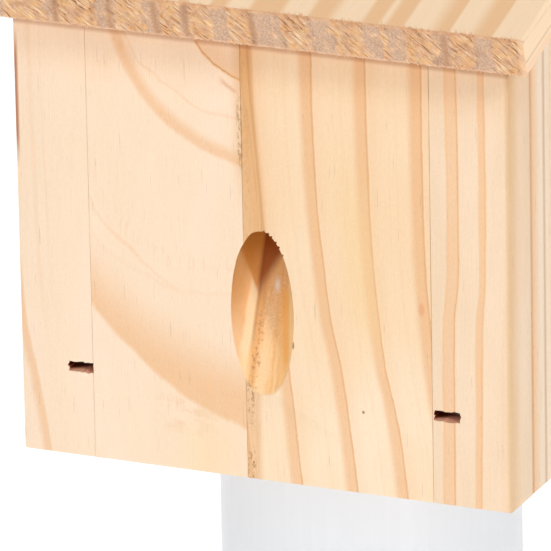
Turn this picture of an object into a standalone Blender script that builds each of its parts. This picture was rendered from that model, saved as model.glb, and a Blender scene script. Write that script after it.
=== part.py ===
"""Bird feeder on a pole: a pine seed box with a hinged roof, on a plastic pipe in a round base.

Metres, +Z up. The origin is on the ground, on the pipe's axis. The front of the box faces -Y.
"""

import math

import bmesh
import bpy
from mathutils import Matrix, Vector

# ---------------------------------------------------------------- driving dimensions
GAP = 0.0003  # left between pieces that touch

BOX_WIDTH = 0.154  # along X
BOX_DEPTH = 0.154  # along Y
BOX_BOTTOM = 0.700  # height of the box's lowest edge above the ground
FRONT_HEIGHT = 0.1382  # front face, from its lowest edge to the roof's underside
PANEL = 0.0165  # thickness of the front, back and floor boards
SIDE = 0.012  # thickness of the side boards
BOARD_EASE = 0.0005  # planed edges are taken off by this much

ROOF_PITCH = math.radians(17.0)
ROOF_THICKNESS = 0.012
ROOF_OVERHANG = 0.010  # past the front and past both sides

PORT_RADIUS = 0.0099  # the bored seed port
PORT_HEIGHT = 0.0508  # its centre on the front face, above the box's lowest edge
PORT_ANGLE = math.radians(23.0)  # between the bore and the front face

RAMP_THICKNESS = 0.006
RAMP_ANGLE = math.radians(32.0)
RAMP_HEIGHT = 0.0640  # top of the ramp where it meets the front board, above the box's lowest edge
CLEAT = 0.010
CLEAT_REACH = 0.045  # half a cleat's length along Y

STAPLE_WIDTH = 0.0080
STAPLE_WIRE = 0.0010
STAPLE_LEG = 0.022
STAPLE_SUNK = 0.0045  # from the board's face to the crown
STAPLE_SLOT = (0.0084, 0.0034)  # width and height of the mark that the nail gun leaves
STAPLE_PLACES = ((-0.0581, 0.0274), (0.0573, 0.0269))  # X, and height above the box's lowest edge

PIPE_RADIUS = 0.045
PIPE_WALL = 0.0045
PLUG_LENGTH = 0.036
PLUG_SCREW_DROP = 0.012  # below the pipe's top, behind the box's skirt
FLOOR_SCREW_CIRCLE = 0.026  # radius of the circle that the four screws stand on

HINGE_PLACES = (-0.042, 0.042)
HINGE_WIDTH = 0.028
HINGE_LEAF = 0.0116  # height of one leaf, from the pin's axis to its edge
HINGE_GAUGE = 0.0012
KNUCKLE_RADIUS = 0.0025
PIN_RADIUS = 0.0011
HINGE_SCREW_OFFSET = (0.0088, 0.0066)  # from the hinge's middle, and from the pin's axis

HOOK_LENGTH = 0.032  # pivot to roof peg
HOOK_GAUGE = 0.0015
HOOK_STANDOFF = 0.0108  # from the side board's face to the hook
HOOK_LEAN = math.radians(20.0)  # how far off upright a fastened hook leans
PEG_Y = 0.010
PEG_DEPTH = 0.0135  # the peg's hole in the roof's edge

PILOT_DEPTH = 0.0105  # the screws' holes in the boards
PROUD = 0.001  # how far a cutter runs past the face that it opens

BASE_RADIUS = 0.170
BASE_THICKNESS = 0.008
COLLAR_WALL = 0.006
COLLAR_HEIGHT = 0.075
SET_SCREW_HEIGHT = 0.050
FOOT_RADIUS = 0.014
FOOT_HEIGHT = 0.006
FOOT_CIRCLE = 0.145

# ---------------------------------------------------------------- worked out from them
FRONT_Y = -BOX_DEPTH / 2
BACK_Y = BOX_DEPTH / 2
SIDE_X = BOX_WIDTH / 2
INNER_Y = BOX_DEPTH / 2 - PANEL
INNER_X = SIDE_X - SIDE
SLOPE = math.tan(ROOF_PITCH)
ROOF_CLEARANCE = GAP / math.cos(ROOF_PITCH)
FLOOR_MIDDLE = BOX_BOTTOM + 0.0272
FLOOR_TOP = FLOOR_MIDDLE + PANEL / 2
PIPE_TOP = FLOOR_MIDDLE - PANEL / 2 - GAP
BASE_TOP = FOOT_HEIGHT + GAP + BASE_THICKNESS
HINGE_Y = BACK_Y + GAP + KNUCKLE_RADIUS


def underside(y):
    """Height of the roof's underside at a depth y."""
    return BOX_BOTTOM + FRONT_HEIGHT + (y - FRONT_Y) * SLOPE


def ramp_top(y):
    """Height of the seed ramp's upper face at a depth y."""
    return BOX_BOTTOM + RAMP_HEIGHT + (y + INNER_Y) * math.tan(RAMP_ANGLE)


HINGE_Z = underside(BACK_Y)
ROOF_RISE = ROOF_THICKNESS / math.cos(ROOF_PITCH)  # the roof's thickness, measured upright
PEG_Z = underside(PEG_Y) + ROOF_RISE / 2
PIVOT_Y = PEG_Y - HOOK_LENGTH * math.sin(HOOK_LEAN)
PIVOT_Z = PEG_Z - HOOK_LENGTH * math.cos(HOOK_LEAN)


# ---------------------------------------------------------------- materials
def material(name, colour, roughness, metallic=0.0):
    made = bpy.data.materials.new(name)
    made.use_nodes = True
    shader = made.node_tree.nodes["Principled BSDF"]
    shader.inputs["Base Color"].default_value = (*colour, 1.0)
    shader.inputs["Roughness"].default_value = roughness
    shader.inputs["Metallic"].default_value = metallic
    made.diffuse_color = (*colour, 1.0)
    return made


PINE = ("pine", (0.86, 0.68, 0.45), 0.6)
SAWN_PINE = ("sawn_pine", (0.80, 0.60, 0.40), 0.75)
PLY = ("ply", (0.72, 0.56, 0.36), 0.65)
ZINC = ("zinc_steel", (0.62, 0.63, 0.64), 0.35, 1.0)
BRASS = ("brass", (0.78, 0.60, 0.28), 0.3, 1.0)
PIPE_PLASTIC = ("white_pvc", (0.86, 0.86, 0.87), 0.35)
PLUG_PLASTIC = ("grey_pvc", (0.55, 0.56, 0.58), 0.5)
WHITE_STEEL = ("white_steel", (0.80, 0.80, 0.81), 0.4)
RUBBER = ("rubber", (0.04, 0.04, 0.04), 0.8)


# ---------------------------------------------------------------- shapes
def add_box(bm, low, high):
    low, high = Vector(low), Vector(high)
    size = high - low
    centre = (low + high) / 2
    matrix = Matrix.Translation(centre) @ Matrix.Diagonal((*size, 1.0))
    bmesh.ops.create_cube(bm, size=1.0, matrix=matrix)


def add_rod(bm, start, end, radius, steps=16):
    start, end = Vector(start), Vector(end)
    along = end - start
    turn = along.to_track_quat("Z", "Y").to_matrix().to_4x4()
    matrix = Matrix.Translation((start + end) / 2) @ turn
    bmesh.ops.create_cone(
        bm,
        cap_ends=True,
        segments=steps,
        radius1=radius,
        radius2=radius,
        depth=along.length,
        matrix=matrix,
    )


def add_prism(bm, outline, thickness, plane="YZ"):
    """Extrudes a closed outline in plane YZ between two X, or in plane XY between two Z."""
    low, high = thickness
    if plane == "YZ":
        corners = [bm.verts.new((low, a, b)) for a, b in outline]
        travel = Vector((high - low, 0.0, 0.0))
    else:
        corners = [bm.verts.new((a, b, low)) for a, b in outline]
        travel = Vector((0.0, 0.0, high - low))
    face = bm.faces.new(corners)
    grown = bmesh.ops.extrude_face_region(bm, geom=[face])
    moved = [v for v in grown["geom"] if isinstance(v, bmesh.types.BMVert)]
    bmesh.ops.translate(bm, verts=moved, vec=travel)


def add_turned(bm, profile, steps):
    """Spins a profile of (radius, height) points about Z: a closed ring, or one ending on the axis."""
    verts = [bm.verts.new((radius, 0.0, height)) for radius, height in profile]
    edges = [bm.edges.new(pair) for pair in zip(verts, verts[1:])]
    if profile[0][0] > 0.0:
        edges.append(bm.edges.new((verts[-1], verts[0])))
    bmesh.ops.spin(
        bm,
        geom=verts + edges,
        axis=(0, 0, 1),
        cent=(0, 0, 0),
        angle=math.tau,
        steps=steps,
        use_merge=True,
    )
    bmesh.ops.remove_doubles(bm, verts=bm.verts, dist=1e-6)


def arc(centre, radius, start, end, steps):
    """Points along an arc, angles in degrees, both ends included."""
    angles = [math.radians(start + (end - start) * i / steps) for i in range(steps + 1)]
    return [(centre[0] + radius * math.cos(a), centre[1] + radius * math.sin(a)) for a in angles]


# ---------------------------------------------------------------- objects
def to_mesh(name, bm, smooth=False):
    bmesh.ops.recalc_face_normals(bm, faces=bm.faces)
    mesh = bpy.data.meshes.new(name)
    bm.to_mesh(mesh)
    bm.free()
    if smooth:
        mesh.shade_smooth()
        mesh.set_sharp_from_angle(angle=math.radians(35.0))
    return mesh


def put(name, mesh, finish, origin=(0, 0, 0), turn=None, parent=None):
    """Makes a named piece with its own material. Copies of a piece share its mesh."""
    piece = bpy.data.objects.new(name, mesh)
    bpy.context.scene.collection.objects.link(piece)
    if not mesh.materials:
        mesh.materials.append(None)
    piece.material_slots[0].link = "OBJECT"
    piece.material_slots[0].material = material(f"{finish[0]}_{name}", *finish[1:])
    piece.location = origin
    if turn is not None:
        piece.rotation_euler = turn
    if parent is not None:
        piece.parent = parent
        piece.matrix_parent_inverse = Matrix.Translation(-parent.location)
    return piece


def put_built(name, bm, finish, origin=(0, 0, 0), parent=None, smooth=False):
    """As put, for a shape built in world coordinates: its mesh is shifted so that its origin is at origin."""
    bmesh.ops.translate(bm, verts=bm.verts, vec=-Vector(origin))
    return put(name, to_mesh(name, bm, smooth), finish, origin, None, parent)


def cut(piece, cutter_bm):
    """Takes a cutter, built in world coordinates, out of a piece with an exact Boolean."""
    mesh = to_mesh(f"cut_{piece.name}", cutter_bm)
    cutter = bpy.data.objects.new(mesh.name, mesh)
    bpy.context.scene.collection.objects.link(cutter)
    cutter.hide_render = True
    cutter.display_type = "WIRE"
    boolean = piece.modifiers.new("cut", "BOOLEAN")
    boolean.operation = "DIFFERENCE"
    boolean.solver = "EXACT"
    boolean.object = cutter
    return cutter


def ease(piece, width=BOARD_EASE):
    """Planes the long edges of a board, before anything is drilled in it."""
    bevel = piece.modifiers.new("eased_edges", "BEVEL")
    bevel.width = width
    bevel.segments = 1
    bevel.limit_method = "ANGLE"
    bevel.angle_limit = math.radians(30.0)


def empty(name, location):
    made = bpy.data.objects.new(name, None)
    bpy.context.scene.collection.objects.link(made)
    made.location = location
    made.empty_display_size = 0.02
    return made


def finished_mesh(piece):
    """The mesh of a piece with its modifiers applied, for its copies to share. The piece itself goes."""
    graph = bpy.context.evaluated_depsgraph_get()
    mesh = bpy.data.meshes.new_from_object(piece.evaluated_get(graph))
    mesh.name = piece.name
    bpy.data.objects.remove(piece)
    return mesh


def screw_mesh(name, shank, length, head, head_height, recess=True):
    """A pan-head screw along Z, with the underside of its head at Z = 0 and a cross recess."""
    tip = 2.0 * shank
    profile = [(0.0, -length), (shank, tip - length), (shank, 0.0), (head, 0.0)]
    profile += [(head, 0.45 * head_height), (0.78 * head, 0.86 * head_height), (0.0, head_height)]
    bm = bmesh.new()
    add_turned(bm, profile, 16)
    mesh = to_mesh(name, bm, smooth=True)
    if not recess:
        return mesh
    blank = bpy.data.objects.new(name, mesh)
    bpy.context.scene.collection.objects.link(blank)
    long, narrow, floor = 0.58 * head, 0.13 * head, 0.45 * head_height
    outline = [(long, narrow), (narrow, narrow), (narrow, long)]
    cross = []
    for quarter in range(4):
        turned = Matrix.Rotation(quarter * math.pi / 2, 2)
        cross += [tuple(turned @ Vector(point)) for point in outline]
    cutter = bmesh.new()
    add_prism(cutter, cross, (floor, 2.0 * head_height), "XY")
    cutter_piece = cut(blank, cutter)
    mesh = finished_mesh(blank)
    bpy.data.objects.remove(cutter_piece)
    return mesh


# ---------------------------------------------------------------- the seed box
def board_outline(y_low, y_high, bottom=BOX_BOTTOM):
    """A board between two depths, from bottom up to the sloping roof."""
    return [
        (y_low, bottom),
        (y_high, bottom),
        (y_high, underside(y_high) - ROOF_CLEARANCE),
        (y_low, underside(y_low) - ROOF_CLEARANCE),
    ]


def staple_cutter(face_y, inward):
    """The slots and leg holes of the two staples driven into the board whose outer face is at face_y."""
    bm = bmesh.new()
    slot_width, slot_height = STAPLE_SLOT
    depth = STAPLE_SUNK + STAPLE_WIRE + GAP
    for x, height in STAPLE_PLACES:
        z = BOX_BOTTOM + height
        near, far = sorted((face_y - inward * 0.001, face_y + inward * depth))
        low = (x - slot_width / 2, near, z - slot_height / 2)
        high = (x + slot_width / 2, far, z + slot_height / 2)
        add_box(bm, low, high)
    return bm


def leg_cutter(face_y, inward, first, last):
    """The leg holes of the two staples, between two depths below the board's outer face."""
    bm = bmesh.new()
    half = STAPLE_WIRE / 2 + GAP
    for x, height in STAPLE_PLACES:
        z = BOX_BOTTOM + height
        for side in (-1, 1):
            leg_x = x + side * (STAPLE_WIDTH - STAPLE_WIRE) / 2
            near, far = sorted((face_y + inward * first, face_y + inward * last))
            add_box(bm, (leg_x - half, near, z - half), (leg_x + half, far, z + half))
    return bm


def make_front(parent):
    bm = bmesh.new()
    add_prism(bm, board_outline(FRONT_Y, FRONT_Y + PANEL), (-SIDE_X, SIDE_X))
    front = put_built("front_panel", bm, PINE, (0, FRONT_Y, BOX_BOTTOM), parent)
    ease(front)
    bore = bmesh.new()
    middle = Vector((0.0, FRONT_Y, BOX_BOTTOM + PORT_HEIGHT))
    along = Vector((0.0, math.sin(PORT_ANGLE), math.cos(PORT_ANGLE)))
    add_rod(bore, middle - 0.055 * along, middle + 0.105 * along, PORT_RADIUS, 40)
    cut(front, bore)
    cut(front, staple_cutter(FRONT_Y, 1))
    cut(front, leg_cutter(FRONT_Y, 1, STAPLE_SUNK, PANEL + 0.001))


def hinge_screw_places():
    """X of every hinge screw, in order."""
    return [x + side * HINGE_SCREW_OFFSET[0] for x in HINGE_PLACES for side in (-1, 1)]


def add_hinge_pilots(bm, z):
    """The holes for a row of hinge screws in a face at the back of the box."""
    for x in hinge_screw_places():
        add_rod(bm, (x, BACK_Y - PILOT_DEPTH, z), (x, BACK_Y + PROUD, z), 0.0014, 12)


def make_back(parent):
    bm = bmesh.new()
    add_prism(bm, board_outline(BACK_Y - PANEL, BACK_Y), (-SIDE_X, SIDE_X))
    back = put_built("back_panel", bm, PINE, (0, BACK_Y, BOX_BOTTOM), parent)
    ease(back)
    cut(back, staple_cutter(BACK_Y, -1))
    cut(back, leg_cutter(BACK_Y, -1, STAPLE_SUNK, PANEL + 0.001))
    pilots = bmesh.new()
    add_hinge_pilots(pilots, HINGE_Z - HINGE_SCREW_OFFSET[1])
    cut(back, pilots)


def make_sides(parent):
    for name, hand in (("left_side", -1), ("right_side", 1)):
        outer, inner = hand * SIDE_X, hand * INNER_X
        bm = bmesh.new()
        add_prism(bm, board_outline(GAP - INNER_Y, INNER_Y - GAP), sorted((outer, inner)))
        side = put_built(name, bm, PINE, (outer, 0, BOX_BOTTOM), parent)
        ease(side)
        pilot = bmesh.new()
        deep = (outer - hand * PILOT_DEPTH, PIVOT_Y, PIVOT_Z)
        add_rod(pilot, deep, (outer + hand * PROUD, PIVOT_Y, PIVOT_Z), 0.0018, 12)
        cut(side, pilot)


def floor_screw_places():
    """The four screws through the floor board into the plug, clockwise from above."""
    angles = [math.radians(45.0 + 90.0 * i) for i in range(4)]
    return [(FLOOR_SCREW_CIRCLE * math.cos(a), FLOOR_SCREW_CIRCLE * math.sin(a)) for a in angles]


def make_floor(parent):
    bm = bmesh.new()
    low = (GAP - INNER_X, GAP - INNER_Y, FLOOR_MIDDLE - PANEL / 2)
    high = (INNER_X - GAP, INNER_Y - GAP, FLOOR_TOP)
    add_box(bm, low, high)
    floor = put_built("floor_board", bm, PINE, (0, 0, FLOOR_MIDDLE), parent)
    cut(floor, leg_cutter(FRONT_Y, 1, PANEL - 0.001, STAPLE_SUNK + STAPLE_LEG + 0.001))
    cut(floor, leg_cutter(BACK_Y, -1, PANEL - 0.001, STAPLE_SUNK + STAPLE_LEG + 0.001))
    holes = bmesh.new()
    for x, y in floor_screw_places():
        add_rod(holes, (x, y, FLOOR_TOP - PANEL - 0.001), (x, y, FLOOR_TOP + 0.001), 0.0022, 12)
    cut(floor, holes)


def make_ramp(parent):
    """The sloping ply board that leads the seed down to the port, and the cleats under it."""
    drop = RAMP_THICKNESS / math.cos(RAMP_ANGLE)
    y = INNER_Y - GAP
    outline = [(-y, ramp_top(-y) - drop), (y, ramp_top(y) - drop)]
    outline += [(y, ramp_top(y)), (-y, ramp_top(-y))]
    bm = bmesh.new()
    add_prism(bm, outline, (GAP - INNER_X, INNER_X - GAP))
    put_built("seed_ramp", bm, PLY, (0, -INNER_Y, ramp_top(-INNER_Y)), parent)
    for name, hand in (("left_ramp_cleat", -1), ("right_ramp_cleat", 1)):
        top = drop + GAP / math.cos(RAMP_ANGLE)
        bottom = top + CLEAT / math.cos(RAMP_ANGLE)
        ends = (-CLEAT_REACH, CLEAT_REACH)
        cleat = [(end, ramp_top(end) - bottom) for end in ends]
        cleat += [(end, ramp_top(end) - top) for end in reversed(ends)]
        thickness = sorted((hand * (INNER_X - GAP), hand * (INNER_X - GAP - CLEAT)))
        bm = bmesh.new()
        add_prism(bm, cleat, thickness)
        put_built(name, bm, PINE, (hand * INNER_X, 0, ramp_top(0) - bottom), parent)


def make_staples(parent):
    """U-shaped staples that fix the front and back boards to the floor board."""
    half, wire = STAPLE_WIDTH / 2, STAPLE_WIRE
    outline = [
        (-half, 0.0),
        (half, 0.0),
        (half, STAPLE_LEG),
        (half - wire, STAPLE_LEG),
        (half - wire, wire),
        (wire - half, wire),
        (wire - half, STAPLE_LEG),
        (-half, STAPLE_LEG),
    ]
    bm = bmesh.new()
    add_prism(bm, outline, (-wire / 2, wire / 2), "XY")
    mesh = to_mesh("staple", bm)
    for end, face_y, inward in (("front", FRONT_Y, 1), ("back", BACK_Y, -1)):
        for hand, (x, height) in zip(("left", "right"), STAPLE_PLACES):
            place = (x, face_y + inward * STAPLE_SUNK, BOX_BOTTOM + height)
            turn = (0.0, 0.0, 0.0 if inward > 0 else math.pi)
            put(f"{end}_{hand}_staple", mesh, ZINC, place, turn, parent)


# ---------------------------------------------------------------- the roof and its hinges
def make_roof(parent):
    """One board. Its front end is cut square to the slope and its rear end upright, for the hinges."""
    front = FRONT_Y - ROOF_OVERHANG
    lean = ROOF_THICKNESS * math.sin(ROOF_PITCH)
    rise = ROOF_THICKNESS * math.cos(ROOF_PITCH)
    outline = [
        (front, underside(front)),
        (BACK_Y, underside(BACK_Y)),
        (BACK_Y, underside(BACK_Y) + ROOF_RISE),
        (front - lean, underside(front) + rise),
    ]
    half = SIDE_X + ROOF_OVERHANG
    bm = bmesh.new()
    add_prism(bm, outline, (-half, half))
    roof = put_built("roof_board", bm, SAWN_PINE, (0, HINGE_Y, HINGE_Z), parent)
    ease(roof)
    pilots = bmesh.new()
    add_hinge_pilots(pilots, HINGE_Z + HINGE_SCREW_OFFSET[1])
    for hand in (-1, 1):
        deep = (hand * (half - PEG_DEPTH), PEG_Y, PEG_Z)
        add_rod(pilots, deep, (hand * (half + PROUD), PEG_Y, PEG_Z), 0.0019, 12)
    cut(roof, pilots)


def leaf_mesh(name, up):
    """One leaf of a butt hinge about its pin's axis. up is 1 for the roof's leaf and -1 for the fixed one."""
    half = HINGE_WIDTH / 2
    third = HINGE_WIDTH / 6
    inner = -KNUCKLE_RADIUS
    bm = bmesh.new()
    bottom, top = sorted((0.0, up * HINGE_LEAF))
    add_box(bm, (-half, inner, bottom), (half, inner + HINGE_GAUGE, top))
    leaf = bpy.data.objects.new(name, to_mesh(name, bm))
    bpy.context.scene.collection.objects.link(leaf)
    barrel = bmesh.new()
    add_rod(barrel, (-half, 0, 0), (half, 0, 0), KNUCKLE_RADIUS, 24)
    roll = cut(leaf, barrel)
    leaf.modifiers["cut"].operation = "UNION"
    notch = bmesh.new()
    clear = KNUCKLE_RADIUS + GAP
    spans = [(-third, third)] if up < 0 else [(-half - 0.001, -third), (third, half + 0.001)]
    for low, high in spans:
        low, high = low - GAP / 2, high + GAP / 2
        add_box(notch, (low, -clear, -clear), (high, clear, clear))
    notched = cut(leaf, notch)
    drilled = bmesh.new()
    add_rod(drilled, (-half - 0.001, 0, 0), (half + 0.001, 0, 0), PIN_RADIUS + GAP, 16)
    for side in (-1, 1):
        place = Vector((side * HINGE_SCREW_OFFSET[0], 0.0, up * HINGE_SCREW_OFFSET[1]))
        along = Vector((0.0, 0.006, 0.0))
        add_rod(drilled, place - along, place + along, 0.0015, 12)
    bored = cut(leaf, drilled)
    mesh = finished_mesh(leaf)
    for cutter in (roll, notched, bored):
        bpy.data.objects.remove(cutter)
    mesh.shade_smooth()
    mesh.set_sharp_from_angle(angle=math.radians(35.0))
    return mesh


def pin_mesh():
    """A hinge pin along X with a flattened head at each end."""
    half = HINGE_WIDTH / 2
    head, cap = 0.0019, 0.0008
    end = -half - GAP
    profile = [(0.0, end - cap), (head, end - cap), (head, end), (PIN_RADIUS, end)]
    profile += [(radius, -height) for radius, height in reversed(profile)]
    bm = bmesh.new()
    add_turned(bm, profile, 16)
    bmesh.ops.rotate(bm, verts=bm.verts, cent=(0, 0, 0), matrix=Matrix.Rotation(math.pi / 2, 3, "Y"))
    return to_mesh("hinge_pin", bm, smooth=True)


def make_hinges(parent, roof_parent):
    fixed, moving, pin = leaf_mesh("fixed_leaf", -1), leaf_mesh("roof_leaf", 1), pin_mesh()
    screw = screw_mesh("hinge_screw", 0.0011, 0.0100, 0.0023, 0.0013)
    head_y = BACK_Y + GAP + HINGE_GAUGE + GAP
    faces_back = (-math.pi / 2, 0.0, 0.0)
    for hand, x in zip(("left", "right"), HINGE_PLACES):
        place = (x, HINGE_Y, HINGE_Z)
        put(f"{hand}_hinge_fixed_leaf", fixed, ZINC, place, None, parent)
        put(f"{hand}_hinge_roof_leaf", moving, ZINC, place, None, roof_parent)
        put(f"{hand}_hinge_pin", pin, ZINC, place, None, parent)
    for number, x in enumerate(hinge_screw_places(), 1):
        low = (x, head_y, HINGE_Z - HINGE_SCREW_OFFSET[1])
        high = (x, head_y, HINGE_Z + HINGE_SCREW_OFFSET[1])
        put(f"back_hinge_screw_{number}", screw, ZINC, low, faces_back, parent)
        put(f"roof_hinge_screw_{number}", screw, ZINC, high, faces_back, roof_parent)


# ---------------------------------------------------------------- the hooks that hold the roof shut
def hook_outline():
    """A flat hook that hangs down from its pivot: points (across, along), along measured from the pivot."""
    eye, clear, arm, finger = 0.0046, 0.0022, 0.0042, 0.0045
    tip = (0.0, HOOK_LENGTH)
    outer = clear + arm
    outline = arc((finger, HOOK_LENGTH + clear + arm / 2), arm / 2, -90.0, 90.0, 6)
    outline += arc(tip, outer, 90.0, 180.0, 8)
    outline += arc((0.0, 0.0), eye, 175.0, 385.0, 16)
    outline += [(-clear, 0.45 * HOOK_LENGTH)]
    outline += arc(tip, clear, 180.0, 90.0, 5)
    return outline


def make_hooks(parent):
    """A brass hook on each side, its standoff and pivot screw, and the peg in the roof's edge."""
    pivot_screw = screw_mesh("pivot_screw", 0.0015, 0.0225, 0.0034, 0.0019)
    low_x = SIDE_X + HOOK_STANDOFF
    spacer = bmesh.new()
    length = HOOK_STANDOFF - 2 * GAP
    add_turned(spacer, [(0.0030, 0.0), (0.0030, length), (0.0019, length), (0.0019, 0.0)], 20)
    spacer_mesh = to_mesh("standoff", spacer, smooth=True)
    for side, hand in (("left", -1), ("right", 1)):
        pivot = empty(f"{side}_hook_axis", (hand * low_x, PIVOT_Y, PIVOT_Z))
        bm = bmesh.new()
        outline = [(PIVOT_Y + across, PIVOT_Z - along) for across, along in hook_outline()]
        add_prism(bm, outline, sorted((hand * low_x, hand * (low_x + HOOK_GAUGE))))
        hook = put_built(f"{side}_hook", bm, BRASS, pivot.location, pivot, smooth=True)
        eye = bmesh.new()
        near, far = hand * (low_x - PROUD), hand * (low_x + HOOK_GAUGE + PROUD)
        add_rod(eye, (near, PIVOT_Y, PIVOT_Z), (far, PIVOT_Y, PIVOT_Z), 0.0019, 20)
        cut(hook, eye)
        outward = (0.0, hand * math.pi / 2, 0.0)
        head = (hand * (low_x + HOOK_GAUGE + GAP), PIVOT_Y, PIVOT_Z)
        foot = (hand * (SIDE_X + GAP), PIVOT_Y, PIVOT_Z)
        put(f"{side}_hook_screw", pivot_screw, BRASS, head, outward, parent)
        put(f"{side}_hook_spacer", spacer_mesh, BRASS, foot, outward, parent)


def make_pegs(parent):
    peg = screw_mesh("roof_peg", 0.0016, 0.0150, 0.0034, 0.0017)
    head_x = SIDE_X + HOOK_STANDOFF + HOOK_GAUGE + GAP
    for side, hand in (("left", -1), ("right", 1)):
        outward = (0.0, hand * math.pi / 2, 0.0)
        put(f"{side}_roof_peg", peg, BRASS, (hand * head_x, PEG_Y, PEG_Z), outward, parent)


# ---------------------------------------------------------------- the pole and its base
def plug_screw_places():
    """Angle of each screw through the pipe's wall into the plug. They hide behind the box's skirt."""
    return [math.radians(90.0 + 120.0 * i) for i in range(3)]


def make_pole(parent):
    """The pipe, and the plug in its top that the box's floor is screwed down to."""
    inner = PIPE_RADIUS - PIPE_WALL
    foot = BASE_TOP + GAP
    bm = bmesh.new()
    add_turned(bm, [(PIPE_RADIUS, PIPE_TOP), (PIPE_RADIUS, foot), (inner, foot), (inner, PIPE_TOP)], 64)
    tube = put_built("post_tube", bm, PIPE_PLASTIC, (0, 0, 0), parent, smooth=True)
    bm = bmesh.new()
    radius, low = inner - GAP, PIPE_TOP - PLUG_LENGTH
    add_turned(bm, [(0.0, low), (radius, low), (radius, PIPE_TOP), (0.0, PIPE_TOP)], 48)
    plug = put_built("post_plug", bm, PLUG_PLASTIC, (0, 0, PIPE_TOP), parent, smooth=True)
    wall_holes, pilots = bmesh.new(), bmesh.new()
    screw = screw_mesh("plug_screw", 0.0016, 0.0150, 0.0034, 0.0018, recess=False)
    for number, angle in enumerate(plug_screw_places(), 1):
        outward = Vector((math.cos(angle), math.sin(angle), 0.0))
        height = Vector((0.0, 0.0, PIPE_TOP - PLUG_SCREW_DROP))
        wall = (outward * (inner - PROUD) + height, outward * (PIPE_RADIUS + PROUD) + height)
        pilot = (outward * (inner - PILOT_DEPTH - 0.001) + height, outward * (inner + PROUD) + height)
        add_rod(wall_holes, *wall, 0.0020, 12)
        add_rod(pilots, *pilot, 0.0020, 12)
        place = outward * (PIPE_RADIUS + GAP) + height
        put(f"plug_screw_{number}", screw, ZINC, place, (0.0, math.pi / 2, angle), parent)
    cut(tube, wall_holes)
    long_screw = screw_mesh("floor_screw", 0.0019, 0.0400, 0.0038, 0.0022, recess=False)
    for number, (x, y) in enumerate(floor_screw_places(), 1):
        add_rod(pilots, (x, y, PIPE_TOP - 0.026), (x, y, PIPE_TOP + 0.001), 0.0022, 12)
        put(f"floor_screw_{number}", long_screw, ZINC, (x, y, FLOOR_TOP + GAP), None, parent)
    cut(plug, pilots)


def set_screw_mesh():
    """A headless screw along Z with its outer end at Z = 0 and a six-sided socket."""
    radius, length = 0.0030, COLLAR_WALL
    profile = [(0.0, -length), (0.7 * radius, -length), (radius, -0.8 * length), (radius, 0.0), (0.0, 0.0)]
    bm = bmesh.new()
    add_turned(bm, profile, 16)
    blank = bpy.data.objects.new("set_screw", to_mesh("set_screw", bm, smooth=True))
    bpy.context.scene.collection.objects.link(blank)
    socket = bmesh.new()
    add_rod(socket, (0, 0, -0.5 * length), (0, 0, 0.001), 0.5 * radius, 6)
    cutter = cut(blank, socket)
    mesh = finished_mesh(blank)
    bpy.data.objects.remove(cutter)
    return mesh


def make_base(parent):
    ease_by = 0.0015
    low, high = BASE_TOP - BASE_THICKNESS, BASE_TOP
    profile = [
        (0.0, low),
        (BASE_RADIUS - ease_by, low),
        (BASE_RADIUS, low + ease_by),
        (BASE_RADIUS, high - ease_by),
        (BASE_RADIUS - ease_by, high),
        (0.0, high),
    ]
    bm = bmesh.new()
    add_turned(bm, profile, 80)
    put_built("base_plate", bm, WHITE_STEEL, (0, 0, low), parent, smooth=True)

    inner = PIPE_RADIUS + GAP
    outer = inner + COLLAR_WALL
    bottom = BASE_TOP + GAP
    top = bottom + COLLAR_HEIGHT
    ring = [(outer + 0.002, bottom), (outer, bottom + 0.004), (outer, top - ease_by), (outer - ease_by, top)]
    ring += [(inner, top), (inner, bottom)]
    bm = bmesh.new()
    add_turned(bm, ring, 48)
    collar = put_built("socket_collar", bm, WHITE_STEEL, (0, 0, bottom), parent, smooth=True)
    holes = bmesh.new()
    grub = set_screw_mesh()
    for number in range(3):
        angle = math.radians(30.0 + 120.0 * number)
        outward = Vector((math.cos(angle), math.sin(angle), 0.0))
        height = Vector((0.0, 0.0, bottom + SET_SCREW_HEIGHT))
        add_rod(holes, outward * (inner - PROUD) + height, outward * (outer + PROUD) + height, 0.0033, 16)
        place = outward * (outer + GAP) + height
        put(f"set_screw_{number + 1}", grub, ZINC, place, (0.0, math.pi / 2, angle), parent)
    cut(collar, holes)

    foot = [(0.0, 0.0), (FOOT_RADIUS - 0.002, 0.0), (FOOT_RADIUS, 0.002)]
    foot += [(FOOT_RADIUS, FOOT_HEIGHT), (0.0, FOOT_HEIGHT)]
    bm = bmesh.new()
    add_turned(bm, foot, 24)
    foot_mesh = to_mesh("foot", bm, smooth=True)
    for number in range(4):
        angle = math.radians(45.0 + 90.0 * number)
        place = (FOOT_CIRCLE * math.cos(angle), FOOT_CIRCLE * math.sin(angle), 0.0)
        put(f"foot_{number + 1}", foot_mesh, RUBBER, place, None, parent)


def main():
    for old in list(bpy.data.objects):
        bpy.data.objects.remove(old)
    stand = empty("stand", (0, 0, 0))
    roof_axis = empty("roof_axis", (0, HINGE_Y, HINGE_Z))
    make_front(stand)
    make_back(stand)
    make_sides(stand)
    make_floor(stand)
    make_ramp(stand)
    make_staples(stand)
    make_roof(roof_axis)
    make_hinges(stand, roof_axis)
    make_hooks(stand)
    make_pegs(roof_axis)
    make_pole(stand)
    make_base(stand)


main()
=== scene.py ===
"""Looks of the bird feeder on a pole: pine boards, plastic pipe, steel and brass.

Metres, +Z up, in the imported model's frame. The front of the box faces -Y. Boards are laid out in
millimetres on the front face: X from its middle, and height from the box's lowest edge.
"""

import math
import random

import bmesh
import bpy
from mathutils import Matrix, Vector, noise


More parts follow.
